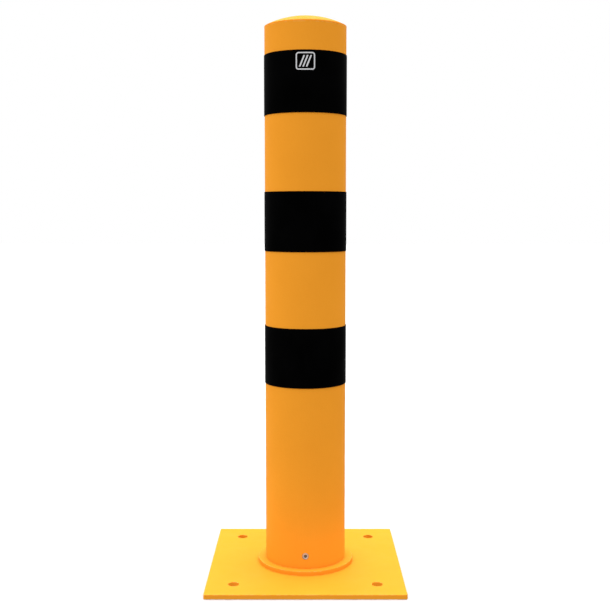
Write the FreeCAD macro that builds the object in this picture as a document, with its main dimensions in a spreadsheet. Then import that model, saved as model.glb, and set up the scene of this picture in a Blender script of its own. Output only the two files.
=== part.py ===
import FreeCAD, Part
import os

import Sketcher

# A slip-over steel bollard for traffic areas. A square foot plate carries a flat ring and a short
# spigot tube. The post, a round tube with a domed cap and three black bands, stands over the spigot
# and rests on the ring. Four socket set screws through the foot of the post hold it there.
#
# Millimetres. The origin is the centre of the foot plate's underside, +Z is up and the front is -Y.

DIMENSIONS = {
    # foot plate with its four anchor holes
    "plate_width": 360.0,
    "plate_thick": 8.0,
    "plate_corner": 3.0,
    "anchor_spacing": 260.0,
    "anchor_radius": 10.0,
    "edge_round": 0.5,
    # flat ring that the post rests on
    "ring_radius": 90.5,
    "ring_bore": 70.0,
    "ring_thick": 8.0,
    # spigot tube inside the post
    "spigot_radius": 63.5,
    "spigot_wall": 5.0,
    "spigot_height": 180.0,
    "spigot_lead": 3.0,
    # post tube
    "post_radius": 76.0,
    "post_wall": 4.0,
    "post_length": 1000.0,
    # rings inside the post, which run on the spigot
    "slip_gap": 0.3,
    "ring_lead": 1.5,
    "clamp_above_foot": 4.0,
    "clamp_height": 40.0,
    "guide_above_foot": 134.0,
    "guide_height": 16.0,
    # welds
    "foot_bead": 6.0,
    "foot_bead_ring_side": 4.5,
    "inner_bead": 3.5,
    "tack_angle": 24.0,
    "seam_height": 2.3,
    "seam_depth": 2.5,
    "seam_crown": 0.1,
    # domed cap
    "cap_wall": 2.5,
    "cap_edge": 0.6,
    "cap_rise": 18.1,
    "cap_skirt": 15.0,
    # black bands
    "film_thick": 1.0,
    "band_height": 110.0,
    "band_pitch": 250.0,
    "band_above_foot": 340.0,
    "band_joint": 1.5,
    # mark on the front of the top band
    "mark_width": 34.5,
    "mark_height": 31.0,
    "mark_below_band_edge": 20.0,
    "mark_thick": 0.3,
    "mark_line": 2.2,
    "mark_corner": 5.0,
    "mark_bar_width": 2.6,
    "mark_bar_pitch": 6.2,
    "mark_bar_lean": 22.0,
    "mark_bar_margin": 3.2,
    # M12 socket set screws, 12 mm long
    "screw_above_foot": 24.0,
    "thread_radius": 6.0,
    "thread_gap": 0.05,
    "screw_length": 12.0,
    "screw_edge": 0.8,
    "socket_flats": 6.0,
    "socket_depth": 6.0,
}

# Heights and radii that follow from the driving dimensions.
RING_TOP = "(dims.plate_thick + dims.ring_thick)"
POST_TOP = f"({RING_TOP} + dims.post_length)"
POST_BORE = "(dims.post_radius - dims.post_wall)"
SLIP_BORE = "(dims.spigot_radius + dims.slip_gap)"
CLAMP_FOOT = f"({RING_TOP} + dims.clamp_above_foot)"
GUIDE_FOOT = f"({RING_TOP} + dims.guide_above_foot)"
SEAM_TOP = f"({POST_TOP} + dims.seam_height)"
SEAM_ROOT = "(dims.post_radius - dims.seam_depth)"
CAP_RIM = f"({SEAM_TOP} + dims.cap_edge)"
CAP_TOP = f"({CAP_RIM} + dims.cap_rise)"
CAP_SPHERE = "((dims.post_radius ^ 2 + dims.cap_rise ^ 2) / (2 * dims.cap_rise))"
CAP_INNER_SPHERE = f"({CAP_SPHERE} - dims.cap_wall)"
SKIRT_BORE = f"({POST_BORE} - dims.cap_wall)"
FILM_RADIUS = "(dims.post_radius + dims.film_thick)"
FIRST_BAND = f"({RING_TOP} + dims.band_above_foot)"
TOP_BAND_EDGE = f"({FIRST_BAND} + 2 * dims.band_pitch + dims.band_height)"
MARK_CENTRE = f"({TOP_BAND_EDGE} - dims.mark_below_band_edge)"
SCREW_HEIGHT = f"({RING_TOP} + dims.screw_above_foot)"

BAND_NAMES = ["band_bottom", "band_middle", "band_top"]
SCREW_ANGLES = {
    "set_screw_right": 0,
    "set_screw_rear": 90,
    "set_screw_left": 180,
    "set_screw_front": 270,
}
BARS_IN_MARK = 3
TACKS = 4
TOUCH = 0.01

doc = FreeCAD.newDocument("bollard")
nodes = []


def make_sheet():
    """The spreadsheet that holds the driving dimensions, one named cell each."""
    sheet = doc.addObject("Spreadsheet::Sheet", "dims")
    for row, (alias, value) in enumerate(DIMENSIONS.items(), start=1):
        sheet.set(f"A{row}", alias)
        sheet.set(f"B{row}", str(value))
        sheet.setAlias(f"B{row}", alias)
    doc.recompute()
    return sheet


dims = make_sheet()


def value_of(formula):
    """The number that a formula in the sheet's names gives now."""
    return float(dims.evalExpression(formula.replace("dims.", "")))


def make_body(label):
    """A PartDesign body that is one node of the bollard."""
    body = doc.addObject("PartDesign::Body", label)
    body.Label = label
    nodes.append(body)
    return body


def origin_feature(body, role):
    """One of the body's own origin planes or axes."""
    return next(item for item in body.Origin.OriginFeatures if item.Role == role)


def make_sketch(body, name, role, lift=None):
    """A sketch on one of the body's origin planes, lifted off it by a formula."""
    sketch = body.newObject("Sketcher::SketchObject", f"{body.Label}_{name}")
    sketch.AttachmentSupport = (origin_feature(body, role), [""])
    sketch.MapMode = "FlatFace"
    if lift is not None:
        sketch.setExpression("AttachmentOffset.Base.z", lift)
    return sketch


def drive(sketch, constraint, formula):
    """Add a dimension to the sketch and bind it to a formula."""
    number = sketch.addConstraint(constraint)
    sketch.renameConstraint(number, f"size_{number}")
    sketch.setExpression(f"Constraints.size_{number}", formula)


def draw_circle(sketch, radius, across=None, up=None):
    """A circle about the sketch's origin, or about a point set by formulas."""
    x = 0 if across is None else value_of(across)
    y = 0 if up is None else value_of(up)
    circle = Part.Circle(FreeCAD.Vector(x, y, 0), FreeCAD.Vector(0, 0, 1), value_of(radius))
    edge = sketch.addGeometry(circle)
    drive(sketch, Sketcher.Constraint("Radius", edge, value_of(radius)), radius)
    hold_point(sketch, edge, 3, across or "0", up or "0")


def hold_point(sketch, edge, end, across, up):
    """Hold one point of an edge at a place given by two formulas."""
    for kind, formula, axis in (("DistanceX", across, -2), ("DistanceY", up, -1)):
        if formula == "0":
            sketch.addConstraint(Sketcher.Constraint("PointOnObject", edge, end, axis))
        else:
            length = value_of(formula)
            drive(sketch, Sketcher.Constraint(kind, -1, 1, edge, end, length), formula)


def arc_middle(start, finish, radius, side):
    """The middle of the arc between two points, with its centre on one side of the chord."""
    chord = finish - start
    across = FreeCAD.Vector(-chord.y, chord.x, 0).normalize()
    to_centre = (radius ** 2 - (chord.Length / 2) ** 2) ** 0.5
    centre = (start + finish) * 0.5 + across * (side * to_centre)
    return centre - across * (side * radius)


def draw_outline(sketch, corners, arcs=None):
    """A closed outline. Each corner is two formulas, and the edge that leaves a corner is straight
    unless arcs gives its radius and, as 1 or -1, whether its centre is left or right of it."""
    arcs = arcs or {}
    points = [FreeCAD.Vector(value_of(x), value_of(y), 0) for x, y in corners]
    ends = []
    for number, start in enumerate(points):
        finish = points[(number + 1) % len(points)]
        if number in arcs:
            radius, side = arcs[number]
            middle = arc_middle(start, finish, value_of(radius), side)
            edge = sketch.addGeometry(Part.Arc(start, middle, finish))
            drive(sketch, Sketcher.Constraint("Radius", edge, value_of(radius)), radius)
        else:
            edge = sketch.addGeometry(Part.LineSegment(start, finish))
        turned = sketch.getPoint(edge, 1).distanceToPoint(start) > TOUCH
        ends.append((edge, 2, 1) if turned else (edge, 1, 2))
    for number, (edge, first, last) in enumerate(ends):
        following, following_first, following_last = ends[(number + 1) % len(ends)]
        sketch.addConstraint(
            Sketcher.Constraint("Coincident", edge, last, following, following_first)
        )
        hold_point(sketch, edge, first, *corners[number])


def pad(body, sketch, length):
    """Pad a sketch upwards by a formula."""
    feature = body.newObject("PartDesign::Pad", f"{sketch.Name}_pad")
    feature.Profile = sketch
    feature.setExpression("Length", length)
    return feature


def revolve(body, sketch, angle=None):
    """Turn a sketch about the body's vertical axis, all the way round or by a formula."""
    feature = body.newObject("PartDesign::Revolution", f"{sketch.Name}_turned")
    feature.Profile = sketch
    feature.ReferenceAxis = (origin_feature(body, "Z_Axis"), [""])
    if angle is None:
        feature.Angle = 360
    else:
        feature.Midplane = True
        feature.setExpression("Angle", angle)
    return feature


def pocket_through(body, sketch, reversed_cut):
    """Cut a sketch through everything on one side of it, and make sure that it cuts."""
    doc.recompute()
    before = body.Shape.Volume
    feature = body.newObject("PartDesign::Pocket", f"{sketch.Name}_pocket")
    feature.Profile = sketch
    feature.Type = "ThroughAll"
    feature.Reversed = reversed_cut
    doc.recompute()
    if body.Shape.Volume > before - TOUCH:
        raise RuntimeError(f"{sketch.Name} cuts nothing")
    return feature


def repeat_round(body, original, count):
    """Repeat a feature evenly round the body's vertical axis."""
    pattern = body.newObject("PartDesign::PolarPattern", f"{original.Name}_round")
    pattern.Originals = [original]
    pattern.Axis = (origin_feature(body, "Z_Axis"), [""])
    pattern.Angle = 360
    pattern.Occurrences = count
    body.Tip = pattern
    doc.recompute()
    return pattern


def round_edges(body, chosen, radius):
    """Round the edges of the body's last feature that the test chosen picks."""
    doc.recompute()
    base = body.Tip
    names = [f"Edge{n}" for n, edge in enumerate(base.Shape.Edges, start=1) if chosen(edge)]
    feature = body.newObject("PartDesign::Fillet", f"{base.Name}_round")
    feature.Base = (base, names)
    feature.setExpression("Radius", radius)
    doc.recompute()


def cut_screw_holes(body):
    """Four threaded holes through the wall at the foot of the post."""
    sketch = make_sketch(body, "hole", "XZ_Plane")
    draw_circle(sketch, "dims.thread_radius", up=SCREW_HEIGHT)
    front_hole = pocket_through(body, sketch, reversed_cut=True)
    repeat_round(body, front_hole, len(SCREW_ANGLES))


def make_base_plate():
    """Square foot plate with rounded corners, softened upper edges and four anchor holes."""
    body = make_body("base_plate")
    sketch = make_sketch(body, "outline", "XY_Plane")
    half = "(dims.plate_width / 2)"
    draw_outline(
        sketch,
        [(f"-{half}", f"-{half}"), (half, f"-{half}"), (half, half), (f"-{half}", half)],
    )
    pad(body, sketch, "dims.plate_thick")
    round_edges(body, lambda edge: edge.BoundBox.ZLength > TOUCH, "dims.plate_corner")
    holes = make_sketch(body, "anchor_holes", "XY_Plane")
    side = "(dims.anchor_spacing / 2)"
    for across in (f"-{side}", side):
        for up in (f"-{side}", side):
            draw_circle(holes, "dims.anchor_radius", across, up)
    pocket_through(body, holes, reversed_cut=True)
    top = value_of("dims.plate_thick")
    round_edges(body, lambda edge: edge.BoundBox.ZMin > top - TOUCH, "dims.edge_round")


def make_base_ring():
    """Flat ring on the plate, on which the post stands."""
    body = make_body("base_ring")
    sketch = make_sketch(body, "outline", "XY_Plane", lift="dims.plate_thick")
    draw_circle(sketch, "dims.ring_radius")
    draw_circle(sketch, "dims.ring_bore")
    pad(body, sketch, "dims.ring_thick")
    top = value_of(RING_TOP)
    outer = value_of("dims.ring_radius")
    round_edges(
        body,
        lambda edge: edge.BoundBox.ZMin > top - TOUCH and edge.BoundBox.XMax > outer - TOUCH,
        "dims.edge_round",
    )


def make_spigot_tube():
    """Tube welded to the plate, with a lead-in at its top for the post."""
    body = make_body("spigot_tube")
    sketch = make_sketch(body, "section", "XZ_Plane")
    outer = "dims.spigot_radius"
    inner = "(dims.spigot_radius - dims.spigot_wall)"
    top = "(dims.plate_thick + dims.spigot_height)"
    draw_outline(
        sketch,
        [
            (inner, "dims.plate_thick"),
            (outer, "dims.plate_thick"),
            (outer, f"({top} - dims.spigot_lead)"),
            (f"({outer} - dims.spigot_lead)", top),
            (inner, top),
        ],
    )
    revolve(body, sketch)


def make_spigot_weld():
    """Weld bead that fills the gap between spigot, plate and ring, hollow on top."""
    body = make_body("spigot_weld")
    sketch = make_sketch(body, "section", "XZ_Plane")
    foot = "dims.plate_thick"
    draw_outline(
        sketch,
        [
            ("dims.spigot_radius", foot),
            ("dims.ring_bore", foot),
            ("dims.ring_bore", f"({foot} + dims.foot_bead_ring_side)"),
            ("dims.spigot_radius", f"({foot} + dims.foot_bead)"),
        ],
        arcs={2: ("dims.foot_bead", -1)},
    )
    revolve(body, sketch)


def make_post_tube():
    """The post's tube, drilled and tapped for the four set screws."""
    body = make_body("post_tube")
    sketch = make_sketch(body, "outline", "XY_Plane", lift=RING_TOP)
    draw_circle(sketch, "dims.post_radius")
    draw_circle(sketch, POST_BORE)
    pad(body, sketch, "dims.post_length")
    cut_screw_holes(body)


def draw_slip_ring(sketch, foot, height):
    """Section of a ring that fits the post's bore and runs on the spigot, with lead-ins."""
    top = f"({foot} + {height})"
    draw_outline(
        sketch,
        [
            (f"({SLIP_BORE} + dims.ring_lead)", foot),
            (POST_BORE, foot),
            (POST_BORE, top),
            (f"({SLIP_BORE} + dims.ring_lead)", top),
            (SLIP_BORE, f"({top} - dims.ring_lead)"),
            (SLIP_BORE, f"({foot} + dims.ring_lead)"),
        ],
    )


def make_clamp_ring():
    """Thick ring welded inside the foot of the post, which gives the set screws their thread."""
    body = make_body("clamp_ring")
    sketch = make_sketch(body, "section", "XZ_Plane")
    draw_slip_ring(sketch, CLAMP_FOOT, "dims.clamp_height")
    revolve(body, sketch)
    cut_screw_holes(body)


def make_guide_ring():
    """Second ring higher up, which keeps the post upright on the spigot."""
    body = make_body("guide_ring")
    sketch = make_sketch(body, "section", "XZ_Plane")
    draw_slip_ring(sketch, GUIDE_FOOT, "dims.guide_height")
    revolve(body, sketch)


def draw_inner_bead(sketch, top):
    """Section of a fillet weld in the corner under a ring, against the post's bore."""
    draw_outline(
        sketch,
        [
            (f"({POST_BORE} - dims.inner_bead)", top),
            (POST_BORE, f"({top} - dims.inner_bead)"),
            (POST_BORE, top),
        ],
        arcs={0: ("(dims.inner_bead * 1.4)", -1)},
    )


def make_clamp_weld():
    """Weld all round under the clamp ring, just above the foot of the post."""
    body = make_body("clamp_weld")
    sketch = make_sketch(body, "section", "XZ_Plane")
    draw_inner_bead(sketch, CLAMP_FOOT)
    revolve(body, sketch)


def make_guide_weld():
    """Four short tack welds under the guide ring."""
    body = make_body("guide_weld")
    body.AllowCompound = True
    sketch = make_sketch(body, "section", "XZ_Plane")
    draw_inner_bead(sketch, GUIDE_FOOT)
    first_tack = revolve(body, sketch, angle="dims.tack_angle")
    repeat_round(body, first_tack, TACKS)


def make_cap_weld():
    """Weld between tube and cap, ground almost flush with the post."""
    body = make_body("cap_weld")
    sketch = make_sketch(body, "section", "XZ_Plane")
    crown = "((dims.seam_height ^ 2 / 4 + dims.seam_crown ^ 2) / (2 * dims.seam_crown))"
    draw_outline(
        sketch,
        [
            (SEAM_ROOT, POST_TOP),
            ("dims.post_radius", POST_TOP),
            ("dims.post_radius", SEAM_TOP),
            (SEAM_ROOT, SEAM_TOP),
        ],
        arcs={1: (crown, 1)},
    )
    revolve(body, sketch)


def make_top_cap():
    """Pressed cap: a shallow dome on a skirt that fits inside the tube."""
    body = make_body("top_cap")
    sketch = make_sketch(body, "section", "XZ_Plane")
    sphere_centre = f"({CAP_TOP} - {CAP_SPHERE})"
    inner_corner = f"({sphere_centre} + sqrt({CAP_INNER_SPHERE} ^ 2 - {SKIRT_BORE} ^ 2))"
    skirt_foot = f"({POST_TOP} - dims.cap_skirt)"
    draw_outline(
        sketch,
        [
            ("0", CAP_TOP),
            ("dims.post_radius", CAP_RIM),
            ("dims.post_radius", SEAM_TOP),
            (SEAM_ROOT, SEAM_TOP),
            (SEAM_ROOT, POST_TOP),
            (POST_BORE, POST_TOP),
            (POST_BORE, skirt_foot),
            (SKIRT_BORE, skirt_foot),
            (SKIRT_BORE, inner_corner),
            ("0", f"({CAP_TOP} - dims.cap_wall)"),
        ],
        arcs={0: (CAP_SPHERE, -1), 8: (CAP_INNER_SPHERE, 1)},
    )
    revolve(body, sketch)


def make_band(label, place):
    """Black band round the post, with its butt joint at the back."""
    body = make_body(label)
    foot = f"({FIRST_BAND} + {place} * dims.band_pitch)"
    sketch = make_sketch(body, "outline", "XY_Plane", lift=foot)
    draw_circle(sketch, FILM_RADIUS)
    draw_circle(sketch, "dims.post_radius")
    pad(body, sketch, "dims.band_height")
    joint = make_sketch(body, "joint", "XY_Plane", lift=foot)
    half = "(dims.band_joint / 2)"
    near = "(dims.post_radius - dims.film_thick)"
    far = f"({FILM_RADIUS} + dims.film_thick)"
    draw_outline(joint, [(f"-{half}", near), (half, near), (half, far), (f"-{half}", far)])
    pocket_through(body, joint, reversed_cut=True)


def make_box(name, width, height, lean="0", across="0"):
    """Upright box that reaches from the axis past the front of the post, centred on the mark, and
    leaning over by an angle in degrees."""
    box = doc.addObject("Part::Box", name)
    box.setExpression("Length", width)
    box.setExpression("Height", height)
    box.setExpression("Width", f"({FILM_RADIUS} * 2)")
    box.Placement.Rotation = FreeCAD.Rotation(FreeCAD.Vector(0, 1, 0), value_of(lean))
    half_width = f"{width} / 2"
    half_height = f"{height} / 2"
    angle = f"({lean} * 1 deg)"
    box.setExpression(
        "Placement.Base.x",
        f"{across} - {half_width} * cos({angle}) - {half_height} * sin({angle})",
    )
    box.setExpression("Placement.Base.y", f"-2 * {FILM_RADIUS}")
    box.setExpression(
        "Placement.Base.z",
        f"{MARK_CENTRE} + {half_width} * sin({angle}) - {half_height} * cos({angle})",
    )
    return box


def boolean(kind, name, base, tool):
    """Part::Cut or Part::Common of two objects."""
    result = doc.addObject(kind, name)
    result.Base = base
    result.Tool = tool
    return result


def round_box(box, name, radius):
    """Round the four edges of a box that run from front to back."""
    doc.recompute()
    feature = doc.addObject("Part::Fillet", name)
    feature.Base = box
    size = value_of(radius)
    depth = box.Shape.BoundBox.YLength
    feature.Edges = [
        (number, size, size)
        for number, edge in enumerate(box.Shape.Edges, start=1)
        if edge.BoundBox.YLength > 0.9 * depth
    ]
    return feature


def make_mark_film(label, prism):
    """The part of a thin film round the band that lies inside a prism."""
    outer = doc.addObject("Part::Cylinder", f"{label}_outer")
    outer.setExpression("Radius", f"({FILM_RADIUS} + dims.mark_thick)")
    inner = doc.addObject("Part::Cylinder", f"{label}_inner")
    inner.setExpression("Radius", FILM_RADIUS)
    for cylinder in (outer, inner):
        cylinder.setExpression("Height", CAP_TOP)
    film = boolean("Part::Cut", f"{label}_film", outer, inner)
    result = boolean("Part::Common", label, film, prism)
    result.Label = label
    nodes.append(result)


def make_emblem_frame():
    """Rounded frame of the mark."""
    outer = make_box("frame_outer", "dims.mark_width", "dims.mark_height")
    hollow_width = "(dims.mark_width - 2 * dims.mark_line)"
    hollow_height = "(dims.mark_height - 2 * dims.mark_line)"
    hollow = make_box("frame_hollow", hollow_width, hollow_height)
    outer_round = round_box(outer, "frame_outer_round", "dims.mark_corner")
    hollow_round = round_box(hollow, "frame_hollow_round", "(dims.mark_corner - dims.mark_line)")
    prism = boolean("Part::Cut", "frame_prism", outer_round, hollow_round)
    make_mark_film("emblem_frame", prism)


def make_emblem_bars():
    """Slanted bars inside the frame, cut off level at top and bottom."""
    middle = (BARS_IN_MARK - 1) / 2
    bars = doc.addObject("Part::Compound", "bars")
    bars.Links = [
        make_box(
            f"bar_{number}",
            "dims.mark_bar_width",
            "dims.mark_height",
            lean="dims.mark_bar_lean",
            across=f"dims.mark_bar_pitch * {number - middle}",
        )
        for number in range(BARS_IN_MARK)
    ]
    inset = "(2 * (dims.mark_line + dims.mark_bar_margin))"
    window = make_box("window", "dims.mark_width", f"(dims.mark_height - {inset})")
    prism = boolean("Part::Common", "bars_prism", bars, window)
    make_mark_film("emblem_bars", prism)


def make_set_screw(label, angle):
    """Socket set screw with a flat point, lying along a radius of the post."""
    body = make_body(label)
    radius = "(dims.thread_radius - dims.thread_gap)"
    section = make_sketch(body, "section", "XZ_Plane")
    draw_outline(
        section,
        [
            ("0", "0"),
            (f"({radius} - dims.screw_edge)", "0"),
            (radius, "dims.screw_edge"),
            (radius, "(dims.screw_length - dims.screw_edge)"),
            (f"({radius} - dims.screw_edge)", "dims.screw_length"),
            ("0", "dims.screw_length"),
        ],
    )
    revolve(body, section)
    socket = make_sketch(body, "socket", "XY_Plane", lift="dims.screw_length")
    corner = "(dims.socket_flats / sqrt(3))"
    half_flat = "(dims.socket_flats / 2)"
    half_side = f"({corner} / 2)"
    draw_outline(
        socket,
        [
            (corner, "0"),
            (half_side, half_flat),
            (f"-{half_side}", half_flat),
            (f"-{corner}", "0"),
            (f"-{half_side}", f"-{half_flat}"),
            (half_side, f"-{half_flat}"),
        ],
    )
    pocket = body.newObject("PartDesign::Pocket", f"{socket.Name}_pocket")
    pocket.Profile = socket
    pocket.setExpression("Length", "dims.socket_depth")
    body.Placement = FreeCAD.Placement(
        FreeCAD.Vector(0, 0, 0),
        FreeCAD.Rotation(FreeCAD.Vector(0, 0, 1), angle)
        * FreeCAD.Rotation(FreeCAD.Vector(0, 1, 0), 90),
    )
    body.setExpression("Placement.Base.x", f"{SLIP_BORE} * cos({angle} deg)")
    body.setExpression("Placement.Base.y", f"{SLIP_BORE} * sin({angle} deg)")
    body.setExpression("Placement.Base.z", SCREW_HEIGHT)


def check_model():
    """Stop if any object failed or any node has no valid shape."""
    for item in doc.Objects:
        if "Invalid" in item.State or "Error" in item.State:
            raise RuntimeError(f"{item.Label} failed: {item.State}")
    for node in nodes:
        if node.Shape.isNull() or not node.Shape.isValid() or not node.Shape.Solids:
            raise RuntimeError(f"{node.Label} has no valid shape")


def write_parts():
    """Write one STEP file for each node."""
    os.makedirs("parts", exist_ok=True)
    for node in nodes:
        node.Shape.exportStep(f"parts/{node.Label}.step")
        box = node.Shape.optimalBoundingBox()
        print(
            f"{node.Label:18s} solids {len(node.Shape.Solids)} volume {node.Shape.Volume:10.0f}"
            f" z {box.ZMin:7.2f} to {box.ZMax:7.2f} x {box.XMin:7.2f} to {box.XMax:7.2f}"
        )


make_base_plate()
make_base_ring()
make_spigot_tube()
make_spigot_weld()
make_post_tube()
make_clamp_ring()
make_clamp_weld()
make_guide_ring()
make_guide_weld()
make_top_cap()
make_cap_weld()
for band_place, band_label in enumerate(BAND_NAMES):
    make_band(band_label, band_place)
make_emblem_frame()
make_emblem_bars()
for screw_label, screw_angle in SCREW_ANGLES.items():
    make_set_screw(screw_label, screw_angle)
doc.recompute()
check_model()
write_parts()
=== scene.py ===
import math

import bmesh
import bpy
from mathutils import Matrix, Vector


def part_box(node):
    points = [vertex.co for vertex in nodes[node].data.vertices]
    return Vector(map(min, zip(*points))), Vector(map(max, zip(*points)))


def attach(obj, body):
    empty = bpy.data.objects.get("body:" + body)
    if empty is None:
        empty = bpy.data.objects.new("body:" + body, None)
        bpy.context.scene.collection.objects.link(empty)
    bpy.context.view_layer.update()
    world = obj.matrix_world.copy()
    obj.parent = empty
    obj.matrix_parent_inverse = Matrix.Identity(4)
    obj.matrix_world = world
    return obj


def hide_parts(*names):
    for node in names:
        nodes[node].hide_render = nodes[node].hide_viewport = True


# The looks of a slip-over steel bollard: yellow powder coat, black film bands, a small grey mark,
# and bare steel where the post runs on its spigot and where the set screws press.
# Metres, in the CAD's frame: the axis of the post is Z, +Z is up and the front is -Y.

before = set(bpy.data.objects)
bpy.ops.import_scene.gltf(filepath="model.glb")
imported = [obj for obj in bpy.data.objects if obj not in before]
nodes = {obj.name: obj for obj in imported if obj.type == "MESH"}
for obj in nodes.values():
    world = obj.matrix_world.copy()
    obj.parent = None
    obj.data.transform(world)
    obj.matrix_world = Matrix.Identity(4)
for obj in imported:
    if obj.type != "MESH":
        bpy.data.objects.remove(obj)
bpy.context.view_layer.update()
scene = bpy.context.scene

MM = 0.001
FULL_TURN = 2 * math.pi

SCREW_ANGLES = {
    "set_screw_right": 0.0,
    "set_screw_rear": 0.25 * FULL_TURN,
    "set_screw_left": 0.5 * FULL_TURN,
    "set_screw_front": 0.75 * FULL_TURN,
}
BANDS = ["band_bottom", "band_middle", "band_top"]


# ---------------------------------------------------------------- places read from the frame

def middle_height(node):
    """Height of the middle of a node's box."""
    low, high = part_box(node)
    return (low.z + high.z) / 2


def outer_radius(node):
    """Outer radius of a node that is round about the Z axis."""
    low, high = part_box(node)
    return high.x


POST_RADIUS = outer_radius("post_tube")
POST_BORE = outer_radius("clamp_ring")
SPIGOT_RADIUS = outer_radius("spigot_tube")
BAND_RADIUS = outer_radius("band_top")
SCREW_HEIGHT = middle_height("set_screw_front")
SCREW_HOLE_RADIUS = 6.0 * MM


# ---------------------------------------------------------------- materials

MASK_SAMPLES = 6


class Graph:
    """The nodes of a material or a world, with a short call for each kind of node used here."""

    def __init__(self, owner, coordinate):
        owner.use_nodes = True
        self.tree = owner.node_tree
        self.place = self.node("ShaderNodeTexCoord").outputs[coordinate]

    def node(self, kind, **settings):
        """A new node with its settings."""
        made = self.tree.nodes.new(kind)
        for name, value in settings.items():
            setattr(made, name, value)
        return made

    def feed(self, socket, value):
        """Link an output to a socket, or set the socket to a plain value."""
        if isinstance(value, bpy.types.NodeSocket):
            self.tree.links.new(value, socket)
        else:
            socket.default_value = value

    def math(self, operation, first, second=0.0):
        """The result of one sum on numbers."""
        made = self.node("ShaderNodeMath", operation=operation)
        self.feed(made.inputs[0], first)
        self.feed(made.inputs[1], second)
        return made.outputs[0]

    def stretched(self, stretch):
        """The place on the object, scaled along its three axes."""
        made = self.node("ShaderNodeMapping")
        self.feed(made.inputs["Vector"], self.place)
        made.inputs["Scale"].default_value = stretch
        return made.outputs["Vector"]

    def noise(self, size, detail, stretch=(1.0, 1.0, 1.0)):
        """Soft noise whose grains are about size metres across."""
        made = self.node("ShaderNodeTexNoise")
        self.feed(made.inputs["Vector"], self.stretched(stretch))
        made.inputs["Scale"].default_value = 1.0 / size
        made.inputs["Detail"].default_value = detail
        return made.outputs["Fac"]

    def spread(self, value, low, high, to_low=0.0, to_high=1.0):
        """Value moved from one range to another and kept inside it."""
        made = self.node("ShaderNodeMapRange")
        made.clamp = True
        self.feed(made.inputs["Value"], value)
        made.inputs["From Min"].default_value = low
        made.inputs["From Max"].default_value = high
        made.inputs["To Min"].default_value = to_low
        made.inputs["To Max"].default_value = to_high
        return made.outputs["Result"]

    def mix(self, share, first, second):
        """Two colours, mixed by a share of the second."""
        made = self.node("ShaderNodeMix", data_type="RGBA")
        self.feed(made.inputs["Factor"], share)
        colours = [item for item in made.inputs if item.type == "RGBA"]
        for socket, colour in zip(colours, (first, second)):
            self.feed(socket, (*colour, 1.0) if isinstance(colour, tuple) else colour)
        return next(item for item in made.outputs if item.type == "RGBA")

    def bump(self, height, depth, strength=1.0, over=None):
        """A surface normal raised by height, which runs from 0 to 1, times depth in metres."""
        made = self.node("ShaderNodeBump")
        made.inputs["Strength"].default_value = strength
        made.inputs["Distance"].default_value = depth
        self.feed(made.inputs["Height"], height)
        if over is not None:
            self.feed(made.inputs["Normal"], over)
        return made.outputs["Normal"]

    def cloud(self, size, detail):
        """Soft patches that run from 0 to 1, about size metres across."""
        return self.spread(self.noise(size, detail), 0.35, 0.65)

    def axes(self, output=None):
        """X, Y and Z of the place, or of another output."""
        made = self.node("ShaderNodeSeparateXYZ")
        self.feed(made.inputs[0], output or self.place)
        return made.outputs

    def edge(self, width):
        """1 on edges rounder than width, 0 on flat and gently curved surfaces."""
        rounded = self.node("ShaderNodeBevel", samples=MASK_SAMPLES)
        rounded.inputs["Radius"].default_value = width
        geometry = self.node("ShaderNodeNewGeometry")
        product = self.node("ShaderNodeVectorMath", operation="DOT_PRODUCT")
        self.feed(product.inputs[0], rounded.outputs["Normal"])
        self.feed(product.inputs[1], geometry.outputs["Normal"])
        return self.spread(product.outputs["Value"], 0.999, 0.94)

    def corner_shade_mask(self, reach):
        """Mask for painted shade in corners: 1 deep in a corner between surfaces less than reach apart, 0
        in the open.
        """
        open_share = self.node("ShaderNodeAmbientOcclusion", samples=MASK_SAMPLES)
        open_share.inputs["Distance"].default_value = reach
        return self.spread(open_share.outputs["AO"], 0.92, 0.40)

    def length(self, first, second):
        """The length of two sides at a right angle."""
        return self.math("SQRT", self.math("ADD", self.square(first), self.square(second)))

    def square(self, value):
        """Value times itself."""
        return self.math("MULTIPLY", value, value)

    def from_screw_axis(self):
        """Distance from the nearest set screw's centre line."""
        x, y, z = self.axes()
        up = self.math("SUBTRACT", z, SCREW_HEIGHT)
        return self.math("MINIMUM", self.length(x, up), self.length(y, up))


class Finish(Graph):
    """One material's nodes, which end in its shader."""

    def __init__(self, name):
        self.material = bpy.data.materials.new(name)
        super().__init__(self.material, "Object")
        self.shader = self.tree.nodes["Principled BSDF"]

    def set(self, name, value):
        """Set or feed one of the shader's inputs."""
        self.feed(self.shader.inputs[name], value)

    def now(self, name):
        """The output that feeds one of the shader's inputs so far."""
        return self.shader.inputs[name].links[0].from_socket

    def roughen(self, height, depth, strength=1.0):
        """Raise the surface by height on top of the normal it has so far."""
        self.set("Normal", self.bump(height, depth, strength, over=self.now("Normal")))

    def show_steel(self, share):
        """Bare steel instead of paint where share is 1."""
        self.set("Base Color", self.mix(share, self.now("Base Color"), BARE_STEEL))
        self.set("Metallic", share)


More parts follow.
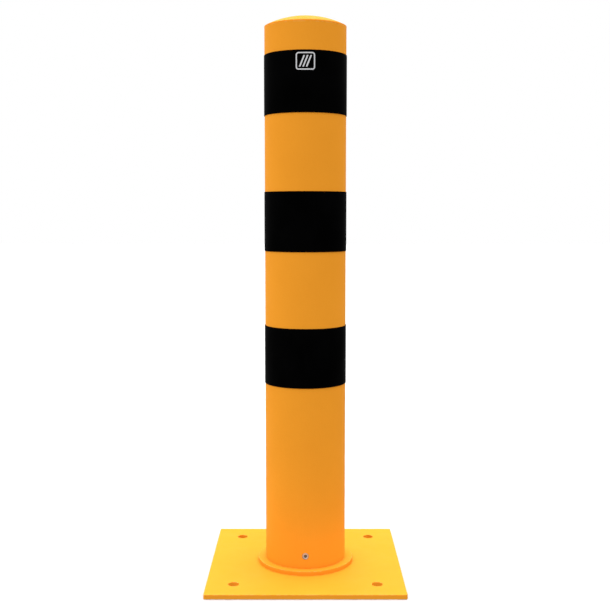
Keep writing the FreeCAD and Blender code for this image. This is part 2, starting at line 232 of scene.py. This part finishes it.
COAT = (0.840, 0.318, 0.0240)
COAT_DEEP = (0.815, 0.304, 0.0220)
COAT_LIGHT = (0.865, 0.332, 0.0265)
COAT_WORN = (0.880, 0.480, 0.1600)
# Painted shade: the deeper orange painted into corners.
COAT_PAINTED_SHADE = (0.830, 0.235, 0.0140)
SEAM_COAT = (0.930, 0.312, 0.0190)
SEAM_COAT_DEEP = (0.900, 0.298, 0.0180)
BARE_STEEL = (0.420, 0.400, 0.380)
FILM_DEEP = (0.0004, 0.0004, 0.0004)
FILM_LIGHT = (0.0009, 0.0009, 0.0010)
FILM_WIPED = (0.0016, 0.0016, 0.0017)
FILM_WORN = (0.0030, 0.0028, 0.0026)
PRINT_DARK = (0.580, 0.580, 0.605)
PRINT_LIGHT = (0.660, 0.660, 0.680)
PRINT_WORN = (0.42, 0.42, 0.44)
HEAT_STRAW = (0.30, 0.25, 0.17)
HEAT_BLUE = (0.22, 0.25, 0.32)
# Socket steel, darkened as painted shade for the recess.
SOCKET_DARK = (0.330, 0.300, 0.290)
SOCKET_LIGHT = (0.420, 0.390, 0.370)
TURNED_DARK = (0.40, 0.39, 0.38)
TURNED_LIGHT = (0.55, 0.54, 0.52)
SCREW_DARK = (0.58, 0.55, 0.55)
SCREW_LIGHT = (0.69, 0.66, 0.66)

DRIFT_SIZE = 90 * MM
GRAIN_SIZE = 1.6 * MM
GRAIN_DEPTH = 0.03 * MM
PEEL_SIZE = 2.4 * MM
PEEL_DEPTH = 0.14 * MM
CHIP_SIZE = 6 * MM
WORN_EDGE = 1.8 * MM
# How far the painted shade in corners reaches.
PAINTED_SHADE_REACH = 9 * MM
STEEL_ENDS = SCREW_HOLE_RADIUS + 0.10 * MM
PAINT_STARTS = SCREW_HOLE_RADIUS + 0.25 * MM

# How far noise is stretched along X, Y and Z: not at all, and into lines round the post's axis.
EVEN = (1.0, 1.0, 1.0)
RING_LINES = (0.05, 0.05, 1.0)


def powder_coat(name, tone=COAT, deep=COAT_DEEP, light=COAT_LIGHT, wear=0.7):
    """Matt powder coat: faint drifts of tone, fine grain, orange peel, edges rubbed paler by wear, and
    painted shade: a deeper orange painted into corners where shade falls."""
    graph = Finish(name)
    drift = graph.cloud(DRIFT_SIZE, 3.0)
    grain = graph.spread(graph.noise(GRAIN_SIZE, 3.0), 0.30, 0.70)
    colour = graph.mix(graph.math("MULTIPLY", drift, 0.9), deep, tone)
    colour = graph.mix(graph.math("MULTIPLY", grain, 0.35), colour, light)
    chips = graph.spread(graph.noise(CHIP_SIZE, 5.0), 0.44, 0.58)
    worn = graph.math("MULTIPLY", graph.edge(WORN_EDGE), chips)
    colour = graph.mix(graph.math("MULTIPLY", worn, wear), colour, COAT_WORN)
    # Painted shade: corners found by ambient occlusion are turned a deeper orange.
    painted_shade = graph.math("MULTIPLY", graph.corner_shade_mask(PAINTED_SHADE_REACH), 0.75)
    colour = graph.mix(painted_shade, colour, COAT_PAINTED_SHADE)
    rough = graph.spread(graph.noise(25 * MM, 4.0), 0.30, 0.70, 0.40, 0.56)
    peel = graph.bump(graph.noise(PEEL_SIZE, 1.0), PEEL_DEPTH)
    graph.set("Base Color", colour)
    graph.set("Roughness", graph.math("ADD", rough, graph.math("MULTIPLY", worn, 0.2)))
    graph.set("Normal", graph.bump(grain, GRAIN_DEPTH, over=peel))
    graph.set("Specular IOR Level", 0.010)
    return graph


def tapped_coat(name):
    """Powder coat whose screw holes are bare steel with the lines of a thread."""
    graph = powder_coat(name)
    x, y, z = graph.axes()
    away = graph.length(x, y)
    inside = graph.spread(graph.from_screw_axis(), PAINT_STARTS, STEEL_ENDS)
    turns = graph.math("MULTIPLY", away, FULL_TURN / THREAD_PITCH)
    ridges = graph.spread(graph.math("SINE", turns), -1.0, 1.0)
    thread = graph.math("MULTIPLY", ridges, inside)
    graph.show_steel(inside)
    graph.roughen(thread, 0.6 * MM)
    return graph.material


def cut_plate_coat(name):
    """Powder coat over a plate whose cut edges show fine upright lines through the paint."""
    graph = powder_coat(name)
    geometry = graph.node("ShaderNodeNewGeometry")
    upward = graph.axes(geometry.outputs["Normal"])[2]
    side = graph.spread(graph.math("ABSOLUTE", upward), 0.5, 0.2)
    lines = graph.noise(1.1 * MM, 2.0, stretch=(1.0, 1.0, 0.06))
    height = graph.math("MULTIPLY", lines, side)
    graph.roughen(height, 0.12 * MM, 0.7)
    return graph.material


def rubbed_coat(name):
    """Powder coat of the spigot, rubbed through in upright streaks by the rings of the post, with
    a round press mark where each set screw bites."""
    graph = powder_coat(name)
    x, y, z = graph.axes()
    streaks = graph.spread(graph.noise(3 * MM, 4.0, stretch=(1.0, 1.0, 0.035)), 0.60, 0.70)
    outside = graph.spread(graph.length(x, y), SPIGOT_RADIUS - 0.4 * MM, SPIGOT_RADIUS - 0.2 * MM)
    from_screw = graph.from_screw_axis()
    pressed = graph.spread(from_screw, PRESS_MARK_RADIUS, PRESS_MARK_RADIUS - 0.4 * MM)
    worn = graph.math("MULTIPLY", graph.math("MAXIMUM", streaks, pressed), outside)
    graph.show_steel(worn)
    dent = graph.math("SUBTRACT", 1.0, graph.math("MULTIPLY", pressed, outside))
    graph.roughen(dent, 0.3 * MM)
    return graph.material


def seam_coat(name):
    """The ground weld of the cap, coloured a deeper orange than the rest of the coat, with the lines of the
    grinding.
    """
    graph = powder_coat(name, SEAM_COAT, SEAM_COAT_DEEP, SEAM_COAT, wear=0.15)
    lines = graph.noise(0.8 * MM, 3.0, stretch=RING_LINES)
    graph.roughen(lines, 0.05 * MM, 0.6)
    return graph.material


def black_film(name):
    """Deep black adhesive film: almost no gloss, a fine pebble and faint wiping marks."""
    graph = Finish(name)
    cloud = graph.cloud(60 * MM, 3.0)
    wipes = graph.spread(graph.noise(9 * MM, 5.0, stretch=(1.0, 1.0, 0.25)), 0.55, 0.80)
    worn = graph.math("MULTIPLY", graph.edge(0.8 * MM), 0.6)
    colour = graph.mix(cloud, FILM_DEEP, FILM_LIGHT)
    colour = graph.mix(graph.math("MULTIPLY", wipes, 0.3), colour, FILM_WIPED)
    graph.set("Base Color", graph.mix(worn, colour, FILM_WORN))
    graph.set("Roughness", graph.spread(wipes, 0.0, 1.0, 0.50, 0.62))
    pebble = graph.bump(graph.noise(0.9 * MM, 2.0), 0.02 * MM, 0.5)
    graph.set("Normal", graph.bump(cloud, 0.10 * MM, 0.3, over=pebble))
    graph.set("Specular IOR Level", 0.003)
    return graph.material


def grey_film(name):
    """Light grey printed film with a faint mottle."""
    graph = Finish(name)
    mottle = graph.spread(graph.noise(2.0 * MM, 4.0), 0.30, 0.70)
    worn = graph.math("MULTIPLY", graph.edge(0.25 * MM), 0.5)
    colour = graph.mix(mottle, PRINT_DARK, PRINT_LIGHT)
    graph.set("Base Color", graph.mix(worn, colour, PRINT_WORN))
    graph.set("Roughness", graph.spread(mottle, 0.0, 1.0, 0.42, 0.55))
    graph.set("Normal", graph.bump(mottle, 0.01 * MM, 0.5))
    graph.set("Specular IOR Level", 0.10)
    return graph.material


def machined_steel(name, dark, light, line_size, stretch, rough=(0.30, 0.48)):
    """Bare steel with fine tool lines, set by how far the noise is stretched along each axis."""
    graph = Finish(name)
    lines = graph.noise(line_size, 3.0, stretch=stretch)
    colour = graph.mix(graph.cloud(14 * MM, 4.0), dark, light)
    worn = graph.math("MULTIPLY", graph.edge(0.4 * MM), 0.5)
    graph.set("Base Color", graph.mix(worn, colour, light))
    graph.set("Metallic", 1.0)
    graph.set("Roughness", graph.spread(lines, 0.3, 0.7, *rough))
    graph.set("Normal", graph.bump(lines, 0.03 * MM, 0.6))
    return graph.material


def weld_metal(name):
    """Bare weld: grey metal with straw and blue heat tints and a rough skin."""
    graph = Finish(name)
    skin = graph.noise(0.7 * MM, 4.0)
    graph.set("Base Color", graph.mix(graph.cloud(6 * MM, 3.0), HEAT_STRAW, HEAT_BLUE))
    graph.set("Metallic", 1.0)
    graph.set("Roughness", graph.spread(skin, 0.3, 0.7, 0.35, 0.55))
    graph.set("Normal", graph.bump(skin, 0.05 * MM, 0.7))
    return graph.material


def dull_and_shaded_socket(name):
    """Inside of the hexagon sockets: duller steel than the face around them, and darker as painted shade.
    """
    graph = Finish(name)
    cloud = graph.noise(1.5 * MM, 4.0)
    colour = graph.mix(graph.spread(cloud, 0.35, 0.65), SOCKET_DARK, SOCKET_LIGHT)
    graph.set("Base Color", colour)
    graph.set("Metallic", 0.5)
    graph.set("Roughness", graph.spread(cloud, 0.3, 0.7, 0.50, 0.70))
    graph.set("Normal", graph.bump(cloud, 0.02 * MM, 0.5))
    return graph.material


# ---------------------------------------------------------------- meshes

SHARP_ANGLE = math.radians(32)


def make_mesh(name, strips):
    """A mesh of closed strips. A strip is its rows of points and whether it closes on itself. Each
    row is a loop that joins the next one, and a strip that stays open has a face at each end."""
    points = []
    faces = []
    for rows, closed in strips:
        first = len(points)
        count = len(rows[0])
        points += [point for row in rows for point in row]
        for row in range(len(rows) if closed else len(rows) - 1):
            here = first + row * count
            there = first + (row + 1) % len(rows) * count
            for place in range(count):
                beside = (place + 1) % count
                faces.append((here + place, here + beside, there + beside, there + place))
        if not closed:
            last = first + (len(rows) - 1) * count
            faces.append(tuple(range(first, first + count)))
            faces.append(tuple(range(last, last + count)))
    mesh = bpy.data.meshes.new(name)
    mesh.from_pydata(points, [], faces)
    work = bmesh.new()
    work.from_mesh(mesh)
    bmesh.ops.recalc_face_normals(work, faces=work.faces)
    work.to_mesh(mesh)
    work.free()
    mesh.shade_smooth()
    mesh.set_sharp_from_angle(angle=SHARP_ANGLE)
    return mesh


def make_piece(name, strips, body, node, materials):
    """A new piece that rides on a body in place of one CAD node."""
    piece = bpy.data.objects.new(name, make_mesh(name, strips))
    scene.collection.objects.link(piece)
    for material in materials:
        piece.data.materials.append(material)
    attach(piece, body)
    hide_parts(node)
    return piece


def turned(section, angle):
    """A section's points, each a radius and a height, turned about the Z axis."""
    return [(radius * math.cos(angle), radius * math.sin(angle), height) for radius, height in section]


def blend(start, finish, share):
    """The value that lies a share of the way from start to finish."""
    return start + (finish - start) * share


# ---- black bands

BAND_COLUMNS = 288
BAND_EDGE = 0.35 * MM
BAND_EDGE_STEPS = 4
BAND_JOINT = 1.5 * MM


def make_band(node, material):
    """A band of film with soft edges, butt jointed at the back of the post."""
    low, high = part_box(node)
    section = [(POST_RADIUS, high.z), (POST_RADIUS, low.z)]
    for centre_height, start in ((low.z + BAND_EDGE, -0.25), (high.z - BAND_EDGE, 0.0)):
        for step in range(BAND_EDGE_STEPS + 1):
            turn = (start + 0.25 * step / BAND_EDGE_STEPS) * FULL_TURN
            section.append((
                BAND_RADIUS - BAND_EDGE + BAND_EDGE * math.cos(turn),
                centre_height + BAND_EDGE * math.sin(turn),
            ))
    half_joint = math.asin(BAND_JOINT / 2 / BAND_RADIUS)
    back = 0.25 * FULL_TURN
    rows = [
        turned(section, blend(back + half_joint, back + FULL_TURN - half_joint, column / BAND_COLUMNS))
        for column in range(BAND_COLUMNS + 1)
    ]
    make_piece(f"{node}_film", [(rows, False)], "post", node, [material])


# ---- grey mark

MARK_LINE = 2.2 * MM
MARK_CORNER = 5.0 * MM
MARK_CORNER_STEPS = 10
MARK_SIDE_STEPS = 16
MARK_BAR_WIDTH = 2.6 * MM
MARK_BAR_PITCH = 6.2 * MM
MARK_BAR_LEAN = math.radians(22)
MARK_BAR_STEPS = 6
MARK_BARS = 3
MARK_EDGE = 0.12 * MM


def on_band(across, height, proud):
    """A point of the mark, given as seen from the front, laid onto the band."""
    return (across, -math.sqrt((BAND_RADIUS + proud) ** 2 - across ** 2), height)


def film_section(width, thick):
    """Section of a printed line: across and proud, with its upper corners softened."""
    half = width / 2
    return [
        (-half, 0.0),
        (-half, thick - MARK_EDGE),
        (-half + MARK_EDGE, thick),
        (0.0, thick),
        (half - MARK_EDGE, thick),
        (half, thick - MARK_EDGE),
        (half, 0.0),
    ]


def mark_thickness():
    """How far the mark stands proud of the band."""
    low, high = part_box("emblem_frame")
    return -low.y - BAND_RADIUS


def make_mark_frame(material):
    """Rounded frame of the mark."""
    low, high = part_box("emblem_frame")
    half_width = high.x - MARK_LINE / 2
    half_height = (high.z - low.z) / 2 - MARK_LINE / 2
    centre = middle_height("emblem_frame")
    corner = MARK_CORNER - MARK_LINE / 2
    path = []
    for quarter in range(4):
        start = quarter * 0.25 * FULL_TURN
        side_x = 1 if quarter in (0, 3) else -1
        side_z = 1 if quarter in (0, 1) else -1
        for step in range(MARK_CORNER_STEPS + 1):
            turn = start + 0.25 * FULL_TURN * step / MARK_CORNER_STEPS
            across = side_x * (half_width - corner) + corner * math.cos(turn)
            up = side_z * (half_height - corner) + corner * math.sin(turn)
            path.append((across, up, math.cos(turn), math.sin(turn)))
        end_across, end_up, out_x, out_z = path[-1]
        run = 2 * ((half_width if quarter in (0, 2) else half_height) - corner)
        for step in range(1, MARK_SIDE_STEPS):
            along = run * step / MARK_SIDE_STEPS
            path.append((end_across - out_z * along, end_up + out_x * along, out_x, out_z))
    rows = [
        [
            on_band(across + out_x * side, centre + up + out_z * side, proud)
            for side, proud in film_section(MARK_LINE, mark_thickness())
        ]
        for across, up, out_x, out_z in path
    ]
    make_piece("emblem_frame_print", [(rows, True)], "post", "emblem_frame", [material])


def make_mark_bars(material):
    """Slanted bars inside the frame."""
    low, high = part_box("emblem_bars")
    centre = middle_height("emblem_bars")
    strips = []
    for number in range(MARK_BARS):
        middle = (number - (MARK_BARS - 1) / 2) * MARK_BAR_PITCH
        rows = []
        for step in range(MARK_BAR_STEPS + 1):
            height = blend(low.z, high.z, step / MARK_BAR_STEPS)
            across = middle + (height - centre) * math.tan(MARK_BAR_LEAN)
            width = MARK_BAR_WIDTH / math.cos(MARK_BAR_LEAN)
            rows.append([
                on_band(across + side, height, proud)
                for side, proud in film_section(width, mark_thickness())
            ])
        strips.append((rows, False))
    make_piece("emblem_bars_print", strips, "post", "emblem_bars", [material])


# ---- weld beads

RIPPLE_PITCH = 2.0 * MM
RIPPLE_DEPTH = 0.22 * MM
RIPPLE_BOW = 0.9
COLUMNS_PER_RIPPLE = 6
BEAD_POINTS = 9


def bead_row(start, finish, roots, sag, ripples, angle, size=1.0):
    """One section of a weld. Its skin runs from start to finish, hollow by sag and rippled along
    the seam; roots are the hidden corners behind it, towards which size shrinks it."""
    length = math.hypot(finish[0] - start[0], finish[1] - start[1])
    normal = ((start[1] - finish[1]) / length, (finish[0] - start[0]) / length)
    section = []
    for place in range(BEAD_POINTS):
        share = place / (BEAD_POINTS - 1)
        bulge = 4 * share * (1 - share)
        bow = RIPPLE_BOW * (2 * share - 1) ** 2
        phase = (angle * ripples / FULL_TURN + bow) % 1.0
        lift = bulge * (RIPPLE_DEPTH * math.sin(math.pi * phase) - sag)
        section.append((
            blend(start[0], finish[0], share) + normal[0] * lift,
            blend(start[1], finish[1], share) + normal[1] * lift,
        ))
    section += roots
    root = roots[0]
    shrunk = [(blend(root[0], r, size), blend(root[1], z, size)) for r, z in section]
    return turned(shrunk, angle)


def make_ring_bead(name, body, node, start, finish, roots, sag, material):
    """A weld that runs all the way round the post's axis."""
    ripples = round(FULL_TURN * start[0] / RIPPLE_PITCH)
    columns = ripples * COLUMNS_PER_RIPPLE
    rows = [
        bead_row(start, finish, roots, sag, ripples, FULL_TURN * column / columns)
        for column in range(columns)
    ]
    make_piece(name, [(rows, True)], body, node, [material])


FOOT_BEAD_RING_SIDE = 4.5 * MM
FOOT_BEAD_SAG = 0.9 * MM
INNER_BEAD = 3.5 * MM
INNER_BEAD_CROWN = 0.3 * MM
TACKS = 4
TACK_ANGLE = math.radians(24)
TACK_STEPS = 60
TACK_END_SIZE = 0.12


def make_foot_bead(material):
    """Weld in the gap between spigot, plate and ring."""
    low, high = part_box("spigot_weld")
    start = (SPIGOT_RADIUS, high.z)
    finish = (high.x, low.z + FOOT_BEAD_RING_SIDE)
    roots = [(high.x, low.z), (SPIGOT_RADIUS, low.z)]
    make_ring_bead("spigot_weld_bead", "base", "spigot_weld", start, finish, roots, FOOT_BEAD_SAG, material)


def inner_corner(node):
    """Start, finish and root of the weld in the corner under a ring inside the post."""
    low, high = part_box(node)
    return (POST_BORE - INNER_BEAD, high.z), (POST_BORE, low.z), (POST_BORE, high.z)


def make_clamp_bead(material):
    """Weld under the clamp ring."""
    start, finish, root = inner_corner("clamp_weld")
    sag = -INNER_BEAD_CROWN
    make_ring_bead("clamp_weld_bead", "post", "clamp_weld", start, finish, [root], sag, material)


def make_tacks(material):
    """Four short welds under the guide ring, each tapering at its ends."""
    start, finish, root = inner_corner("guide_weld")
    ripples = round(FULL_TURN * start[0] / RIPPLE_PITCH)
    strips = []
    for tack in range(TACKS):
        rows = []
        for step in range(TACK_STEPS + 1):
            across = 2 * step / TACK_STEPS - 1
            size = max(TACK_END_SIZE, math.sqrt(1 - across ** 4))
            angle = FULL_TURN * tack / TACKS + across * TACK_ANGLE / 2
            rows.append(bead_row(start, finish, [root], -INNER_BEAD_CROWN, ripples, angle, size))
        strips.append((rows, False))
    make_piece("guide_weld_tacks", strips, "post", "guide_weld", [material])


# ---- set screws

THREAD_PITCH = 1.75 * MM
THREAD_DEPTH = 1.07 * MM
# Shares of half a pitch: the flat of the crest and the slope beside it.
THREAD_CREST_SHARE = 0.125
THREAD_FLANK_SHARE = 0.625
SCREW_COLUMNS = 96
SCREW_ROWS = 110
SCREW_CHAMFER = 0.8 * MM
SCREW_END_FLAT = 0.05 * MM
SCREW_CENTRE = 0.05 * MM
SOCKET_HALF_FLATS = 3.0 * MM
SOCKET_MOUTH = 3.75 * MM
SOCKET_MOUTH_DEPTH = 0.35 * MM
SOCKET_DEPTH = 6.0 * MM
SOCKET_DRILL = 0.9 * SOCKET_HALF_FLATS
SOCKET_CONE = 1.2 * MM
SOCKET_CONE_END = 0.1 * MM
PRESS_MARK_RADIUS = 4.9 * MM


def thread_radius(along, turn, crest):
    """Radius of the thread at a place along the screw and a turn round it."""
    phase = (along / THREAD_PITCH - turn / FULL_TURN) % 1.0
    from_crest = abs(phase - 0.5) * 2
    fall = min(1.0, max(0.0, (from_crest - THREAD_CREST_SHARE) / THREAD_FLANK_SHARE))
    return crest - THREAD_DEPTH * fall


def hexagon_radius(turn):
    """Radius of the hexagon socket at a turn, with a corner straight up."""
    sixth = FULL_TURN / 6
    from_flat = (turn - 0.25 * FULL_TURN) % sixth - sixth / 2
    return SOCKET_HALF_FLATS / math.cos(from_flat)


def screw_rows(crest, length):
    """Rows of the screw from its point to the bottom of its socket: place along it and radius at
    each turn. The first row of the socket is given too."""
    turns = [FULL_TURN * column / SCREW_COLUMNS for column in range(SCREW_COLUMNS)]

    def round_row(along, radius):
        return along, [radius] * SCREW_COLUMNS

    inner = crest - SCREW_CHAMFER
    rows = [
        round_row(0.0, SCREW_CENTRE),
        round_row(0.0, inner - SCREW_END_FLAT),
        round_row(0.0, inner),
    ]
    for row in range(1, SCREW_ROWS):
        along = length * row / SCREW_ROWS
        from_end = min(along, length - along)
        chamfer = inner + from_end * (crest - inner) / SCREW_CHAMFER
        rows.append((along, [min(chamfer, thread_radius(along, turn, crest)) for turn in turns]))
    rows += [round_row(length, inner), round_row(length, inner - SCREW_END_FLAT)]
    hexagon = [hexagon_radius(turn) for turn in turns]
    rows.append(round_row(length, SOCKET_MOUTH))
    socket_start = len(rows)
    rows.append((length - SOCKET_MOUTH_DEPTH, hexagon))
    rows.append((length - SOCKET_DEPTH, hexagon))
    rows.append(round_row(length - SOCKET_DEPTH, SOCKET_DRILL))
    rows.append(round_row(length - SOCKET_DEPTH - SOCKET_CONE, SOCKET_CONE_END))
    return rows, socket_start


def make_screw(node, angle, steel, socket):
    """An M12 socket set screw with a real thread, lying along a radius of the post. The right one lies
    along X, so its box gives the sizes of all four."""
    low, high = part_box("set_screw_right")
    point_radius = low.x
    length = high.x - low.x
    crest = (high.z - low.z) / 2
    outward = Vector((math.cos(angle), math.sin(angle), 0.0))
    sideways = Vector((-math.sin(angle), math.cos(angle), 0.0))
    up = Vector((0.0, 0.0, 1.0))
    rows, socket_start = screw_rows(crest, length)
    loops = []
    for along, radii in rows:
        centre = outward * (point_radius + along) + up * SCREW_HEIGHT
        loops.append([
            centre
            + sideways * (radius * math.cos(FULL_TURN * column / SCREW_COLUMNS))
            + up * (radius * math.sin(FULL_TURN * column / SCREW_COLUMNS))
            for column, radius in enumerate(radii)
        ])
    body = node.removeprefix("set_")
    piece = make_piece(f"{node}_threaded", [(loops, False)], body, node, [steel, socket])
    first_socket_face = socket_start * SCREW_COLUMNS
    last_side_face = (len(rows) - 1) * SCREW_COLUMNS
    for number, face in enumerate(piece.data.polygons):
        in_socket = first_socket_face <= number < last_side_face or number == last_side_face + 1
        face.material_index = 1 if in_socket else 0


# ---------------------------------------------------------------- finishes of the CAD nodes

def dress(material, *names):
    """Give kept CAD nodes a finish."""
    for name in names:
        nodes[name].data.materials.clear()
        nodes[name].data.materials.append(material)


dress(cut_plate_coat("coat_plate"), "base_plate")
dress(powder_coat("coat_plain").material, "base_ring", "top_cap")
dress(rubbed_coat("coat_spigot"), "spigot_tube")
dress(tapped_coat("coat_tapped"), "post_tube", "clamp_ring")
dress(seam_coat("coat_seam"), "cap_weld")
dress(machined_steel("steel_turned", TURNED_DARK, TURNED_LIGHT, 0.9 * MM, RING_LINES), "guide_ring")

film = black_film("film_black")
for band in BANDS:
    make_band(band, film)

print_grey = grey_film("film_grey")
make_mark_frame(print_grey)
make_mark_bars(print_grey)

bead_coat = powder_coat("coat_weld").material
make_foot_bead(bead_coat)
make_clamp_bead(bead_coat)
make_tacks(weld_metal("steel_weld"))

screw_steel = machined_steel("steel_screw", SCREW_DARK, SCREW_LIGHT, 1.2 * MM, EVEN, (0.42, 0.58))
socket_steel = dull_and_shaded_socket("steel_socket")
for screw, screw_angle in SCREW_ANGLES.items():
    make_screw(screw, screw_angle, screw_steel, socket_steel)


# ---------------------------------------------------------------- camera, floor and light

CAMERA_DISTANCE = 1.829
CAMERA_HEIGHT = 0.675
CAMERA_PITCH = math.radians(5.225)
CAMERA_ANGLE_OF_VIEW = math.radians(34.96)
CAMERA_SHIFT = (-0.0007, -0.004)
SENSOR_WIDTH = 36.0
FLOOR_DEPTH = 0.5 * MM
FLOOR_REACH = 20.0
FLOOR_TONE = (0.56, 0.56, 0.56, 1.0)
BACKDROP_RADIUS = 25.0


def make_camera():
    """Camera in front of the post, a little above its middle, looking slightly down."""
    data = bpy.data.cameras.new("camera")
    camera = bpy.data.objects.new("camera", data)
    scene.collection.objects.link(camera)
    camera.location = (0.0, -CAMERA_DISTANCE, CAMERA_HEIGHT)
    camera.rotation_euler = (0.25 * FULL_TURN - CAMERA_PITCH, 0.0, 0.0)
    data.sensor_width = SENSOR_WIDTH
    data.lens = SENSOR_WIDTH / 2 / math.tan(CAMERA_ANGLE_OF_VIEW / 2)
    data.shift_x, data.shift_y = CAMERA_SHIFT
    data.clip_start = 0.01
    data.clip_end = 100.0
    scene.camera = camera


def put_on_stage(thing):
    """Part of the set, which the camera sees but which sends no light to the object."""
    thing.visible_diffuse = False
    thing.visible_glossy = False
    thing.visible_transmission = False
    thing.visible_shadow = False


def make_floor():
    """Plain pale floor just under the plate, which the light turns white."""
    sides = [(-1, -1), (1, -1), (1, 1), (-1, 1)]
    corners = [(FLOOR_REACH * x, FLOOR_REACH * y, -FLOOR_DEPTH) for x, y in sides]
    mesh = bpy.data.meshes.new("floor")
    mesh.from_pydata(corners, [], [(0, 1, 2, 3)])
    floor = bpy.data.objects.new("floor", mesh)
    scene.collection.objects.link(floor)
    graph = Finish("floor_white")
    graph.set("Base Color", FLOOR_TONE)
    graph.set("Roughness", 0.9)
    graph.set("Specular IOR Level", 0.0)
    mesh.materials.append(graph.material)
    put_on_stage(floor)


def make_backdrop():
    """White dome all round, beyond the edges of the floor."""
    work = bmesh.new()
    bmesh.ops.create_uvsphere(work, u_segments=48, v_segments=24, radius=BACKDROP_RADIUS)
    mesh = bpy.data.meshes.new("backdrop")
    work.to_mesh(mesh)
    work.free()
    backdrop = bpy.data.objects.new("backdrop", mesh)
    scene.collection.objects.link(backdrop)
    graph = Finish("backdrop_white")
    glow = graph.node("ShaderNodeEmission")
    output = graph.tree.nodes["Material Output"]
    graph.feed(output.inputs["Surface"], glow.outputs["Emission"])
    mesh.materials.append(graph.material)
    put_on_stage(backdrop)


# For each side: the axis it lies on, towards which end, and how strong its light is.
LIGHT_FROM = {
    "front": (1, -1.0, 0.65),
    "back": (1, 1.0, 0.93),
    "left": (0, -1.0, 1.14),
    "right": (0, 1.0, 0.58),
    "above": (2, 1.0, 2.7),
}


def make_surround():
    """Soft light from all round, with its own strength in front, behind, left, right and above."""
    world = bpy.data.worlds.new("studio")
    scene.world = world
    graph = Graph(world, "Generated")
    direction = graph.axes()
    total = 0.0
    for axis, sign, strength in LIGHT_FROM.values():
        facing = graph.math("MAXIMUM", graph.math("MULTIPLY", direction[axis], sign), 0.0)
        lobe = graph.math("MULTIPLY", graph.square(facing), strength)
        total = graph.math("ADD", total, lobe)
    graph.feed(graph.tree.nodes["Background"].inputs["Color"], total)


SOFTBOX_WIDTH = math.radians(60)

# For each light: the way it shines and its strength.
SOFTBOXES = {
    "softbox_behind": ((0.0, -0.5, -1.0), 1.7),
    "softbox_right": ((-0.5, 0.3, -1.0), 0.38),
}


def make_softboxes():
    """Two very wide lights from above, each given by its direction and strength."""
    for name, (direction, strength) in SOFTBOXES.items():
        data = bpy.data.lights.new(name, "SUN")
        data.energy = strength
        data.angle = SOFTBOX_WIDTH
        light = bpy.data.objects.new(name, data)
        light.rotation_euler = Vector(direction).to_track_quat("-Z", "Y").to_euler()
        scene.collection.objects.link(light)


make_camera()
make_floor()
make_backdrop()
make_surround()
make_softboxes()
scene.view_settings.view_transform = "Standard"
